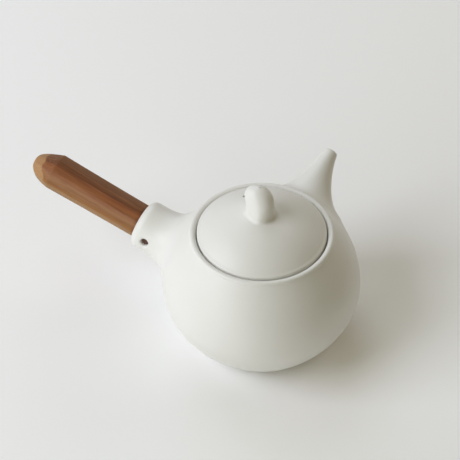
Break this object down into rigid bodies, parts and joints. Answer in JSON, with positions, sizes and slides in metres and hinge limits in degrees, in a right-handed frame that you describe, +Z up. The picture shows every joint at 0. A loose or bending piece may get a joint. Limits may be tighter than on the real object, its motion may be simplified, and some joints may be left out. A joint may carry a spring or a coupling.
{
  "type": "side-handled teapot",
  "caption": "Small round porcelain teapot with a side handle of wood, short flared spout, domed lid with knob, and lift-out tea strainer.",
  "frame": {"origin": "on the pot's axis, in the plane that the foot ring stands on", "axes": "+Z up along the pot's axis; the handle points along -X, rising 15.5 degrees; the spout points 5 degrees off +Y, towards +X"},
  "size_m": [0.2075, 0.1367, 0.1072],
  "materials": {
    "porcelain": "satin-matt white glaze",
    "walnut": "oiled, fine grain along the grip",
    "peg_wood": "dark, cut end",
    "steel": "pressed sheet, satin",
    "steel_mesh": "fine woven wire"
  },
  "bodies": {
    "pot": {"pot_body": "porcelain", "handle": "walnut", "handle_peg": "peg_wood"},
    "strainer": {"strainer_rim": "steel", "strainer_wall": "steel_mesh", "strainer_band": "steel", "strainer_floor": "steel_mesh"},
    "lid": {"lid": "porcelain"}
  },
  "joints": [
    {"name": "strainer_lift", "type": "slide", "parent": "pot", "child": "strainer", "axis": [0, 0, 1], "range_m": [0, 0.06]},
    {"name": "lid_lift", "type": "slide", "parent": "strainer", "child": "lid", "axis": [0, 0, 1], "range_m": [0, 0.04]}
  ]
}
